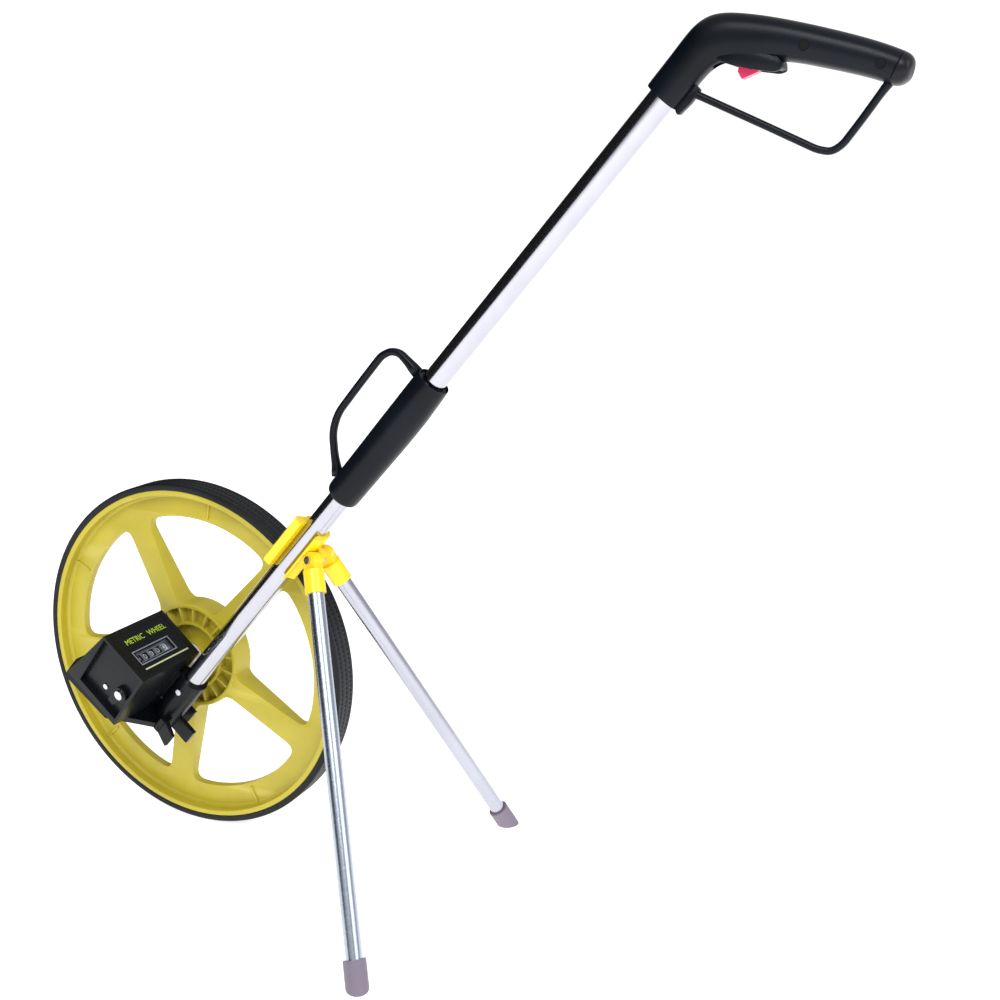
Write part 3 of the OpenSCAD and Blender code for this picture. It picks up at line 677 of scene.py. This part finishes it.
outside = [(229.0, -12.9, 12.9, 12.9), (230.2, -13.4, 13.2, 13.2), (233, -13.7, 13.5, 13.5), (245, -13.8, 13.7, 13.7),
           (270, -13.9, 14.2, 14.0), (300, -14.1, 14.8, 14.4), (325, -14.2, 14.7, 14.4), (345, -14.3, 13.6, 13.9),
           (353, -13.8, 13.1, 13.3), (355, -13.2, 12.8, 12.9)]
inside = [(355, -12.5, 12.5, 12.5), (340, -12.45, 12.45, 12.45), (245, -12.45, 12.45, 12.45), (229, -12.5, 12.5, 12.5)]


def tubeSkin(name, rows, mat):
    verts, faces, n = [], [], 64
    for s, x0, x1, half in rows:
        for k in range(n):
            a = 2 * math.pi * k / n
            verts.append(((x0 + x1) / 2 + (x1 - x0) / 2 * math.cos(a), shaftY + half * math.sin(a), s))
    for i in range(len(rows)):
        j = (i + 1) % len(rows)
        for k in range(n):
            q = (k + 1) % n
            faces.append((i * n + k, i * n + q, j * n + q, j * n + k))
    obj = meshObject(name, verts, faces, shaftM, mat)
    softEdges(obj, 50)
    return obj


sleeve = tubeSkin("sleeve shell", outside + inside, gripRubber)
tubeM = shaftM @ Matrix.Translation((0, shaftY * mm, 0))
guides = [lathe("guide", rounded([(9.4, z), (12.6, z), (12.6, z + h), (9.4, z + h)], 0.3, 2), tubeM, gripRubber, 64)
          for z, h in ((269, 14), (329, 14), (349.5, 4))]
place(joined("locking sleeve", [sleeve] + guides), "sleeve", "black_plastic", "locking_sleeve")

loopLook = {"thickness": 2.9, "corner": 9}
loopLine = [(-13.2, 238), (-19, 243.5), (-26, 249.5), (-38.2, 262), (-44.0, 277), (-44.4, 308),
            (-44.3, 338.5), (-40.6, 346.8), (-34.2, 351), (-24, 350.8), (-13.4, 350)]
loop = sweep("carry loop bar", [(x, shaftY, z) for x, z in loopLine], loopLook["thickness"],
             shaftM, gripRubber, corner=loopLook["corner"], tips=0.5)
place(loop, "sleeve", "black_plastic", "carry_loop")
print("shaft and stand ready")

# grip, guard and trigger

gripLook = {"roundness": 2.3}
stations = [((-12.3, 612.6), (12.3, 612.6), 12.3), ((-12.6, 613.6), (12.6, 613.6), 12.6), ((-12.6, 636), (12.6, 632), 12.6),
            ((-13.2, 650), (12.9, 645), 12.9), ((-12.6, 660), (16.5, 652.5), 13), ((-9, 669), (22.5, 658.5), 13),
            ((-2, 676), (29, 663.5), 12.8), ((8, 683), (35.5, 668.2), 12.6), ((22, 691.5), (43.5, 675.5), 12.6),
            ((38, 700), (53, 682), 12.8), ((56, 709), (68, 690), 13), ((76, 718.3), (85, 699), 13),
            ((90, 723.8), (98, 705), 12.6), ((97.5, 726.2), (103.6, 707), 12.2)]
endStations = [((97.8, 726.2), (103.9, 707), 12.1), ((99.5, 726.8), (105.6, 707.6), 12.2), ((102.5, 727), (108, 709.2), 12),
               ((105.2, 726), (109.6, 711.4), 11.2), ((107.2, 723.6), (110.6, 714), 9), ((108.6, 721), (110.8, 716.4), 5.5),
               ((109.5, 719.6), (110.2, 718), 1.6)]
grip = loft("grip body", stations, shaftM, gripRubber, power=gripLook["roundness"], levels=2)


def cut(obj, tool):
    mod = obj.modifiers.new("cut", "BOOLEAN")
    mod.operation, mod.object, mod.solver = "DIFFERENCE", tool, "EXACT"
    made = settle(obj, 35)
    bpy.data.objects.remove(tool)
    return made


grip = capped(settle(grip))
slotCut = bar("slot", [(14, 644), (46, 656), (46, 676), (37, 680), (10, 668), (10, 652)], 0, 8.8,
              shaftM @ Matrix.Translation((0, (shaftY + 4.4) * mm, 0)) @ quarterX, gripRubber, 0)
grip = cut(grip, slotCut)
for x, z in ((51, 692), (93, 712.5)):
    well = lathe("well", [(0.001, 10.6), (3.2, 10.6), (3.2, 16), (0.001, 16)],
                 shaftM @ Matrix.Translation((x * mm, shaftY * mm, z * mm)) @ quarterX, gripRubber, 32)
    grip = cut(grip, well)
spur = bar("spur", rounded([(8, 632), (16.6, 632), (17.2, 622), (16, 611), (12.5, 612), (8, 618)], 1.5, 2), -3.2, 3.2,
           sideM, gripRubber, 0.6)
# the trigger sits between two cheeks with a lip behind
cheekLine = rounded([(14, 652), (23, 655.5), (36, 662.5), (47, 669.5), (49.5, 673.5), (46.5, 676), (40, 676),
                     (24, 668), (12, 658)], 1.5, 2)
cheeks = [bar("cheek", cheekLine, a, b, sideM,
              gripRubber, 0.5) for a, b in ((-9.6, -7.2), (7.2, 9.6))]
lip = bar("lip", rounded([(39.5, 669.5), (47.5, 671.5), (49, 674), (46, 677), (38.5, 677)], 1, 2), -8.5, 8.5,
          sideM, gripRubber, 0.6)
grip = joined("grip", [grip, spur, lip] + cheeks)
smooth(grip, 35)
place(grip, "upper", "grip_rubber", "near_grip_shell", "far_grip_shell")
end = capped(settle(loft("grip end", endStations, shaftM, capPlastic, power=gripLook["roundness"], levels=1)))
place(end, "upper", "grey_plastic", "grip_cap")

guardLook = {"thickness": 2.9, "flat": 0.82, "corner": 7}
guardLine = [(9, 624), (16, 628), (60.5, 641.8), (97.6, 653), (104.8, 657.5),
             (107, 665), (105.4, 683), (103.2, 701.5), (102.6, 711)]
guard = sweep("guard bar", [(x, shaftY, z) for x, z in guardLine], guardLook["thickness"],
              shaftM, gripRubber, flat=guardLook["flat"], corner=guardLook["corner"], tips=0.2)
place(guard, "upper", "black_plastic", "hand_guard")
dress("trigger", redPlastic, 0.7)
print("grip ready")

# floor, light and camera

def plain(name, color, rough, glow=0.0):
    mat = bpy.data.materials.new(name)
    mat.use_nodes = True
    shader = mat.node_tree.nodes["Principled BSDF"]
    shader.inputs["Base Color"].default_value = (*color, 1)
    shader.inputs["Roughness"].default_value = rough
    shader.inputs["Emission Color"].default_value = (1, 1, 1, 1)
    shader.inputs["Emission Strength"].default_value = glow
    return mat


bpy.ops.mesh.primitive_plane_add(size=30, location=(0, 0, -0.0002))
floor = bpy.context.object
floor.name = "floor"
floor.data.materials.append(plain("pale floor", (0.95, 0.95, 0.95), 0.8, glow=0.75))
bpy.ops.mesh.primitive_plane_add(size=1, location=(-2.2, -1.6, 1.2))
card = bpy.context.object
card.name = "dark card"
card.scale = (5.0, 9.5, 1)
card.rotation_euler = (0, math.radians(90), 0)
card.data.materials.append(plain("dark card", (0.0, 0.0, 0.0), 1.0))
card.visible_camera = card.visible_diffuse = card.visible_shadow = False


def lamp(name, at, aim, size, power):
    data = bpy.data.lights.new(name, "AREA")
    data.shape, data.size, data.energy = "SQUARE", size, power
    obj = link(bpy.data.objects.new(name, data))
    obj.location = at
    obj.rotation_euler = (Vector(aim) - Vector(at)).to_track_quat("-Z", "Y").to_euler()


lamp("key light", (0.6, -2.2, 2.4), (0.2, 0, 0.3), 1.4, 42)
lamp("side light", (2.6, -0.6, 1.6), (0.2, 0, 0.3), 1.8, 26)
world = bpy.data.worlds.new("studio")
scene.world = world
world.use_nodes = True
sky = world.node_tree.nodes["Background"]
sky.inputs["Color"].default_value = (1, 1, 1, 1)
# the backdrop is seen white, and lights the object more softly
path = world.node_tree.nodes.new("ShaderNodeLightPath")
level = world.node_tree.nodes.new("ShaderNodeMapRange")
level.inputs["To Min"].default_value = 0.55
level.inputs["To Max"].default_value = 1.1
world.node_tree.links.new(path.outputs["Is Camera Ray"], level.inputs["Value"])
world.node_tree.links.new(level.outputs["Result"], sky.inputs["Strength"])
scene.view_settings.view_transform = "Standard"

view = bpy.data.cameras.new("camera")
view.sensor_width = 36
view.lens = 44.25
camera = link(bpy.data.objects.new("camera", view))
right, down = Vector((0.9066, 0.422, -0.0014)), Vector((0.1034, -0.2252, -0.9688))
ahead = Vector((-0.4091, 0.8782, -0.2478))
turn = Matrix((right, -down, -ahead)).transposed().to_4x4()
camera.matrix_world = Matrix.Translation((0.6878, -0.8268, 0.5667)) @ turn
scene.camera = camera
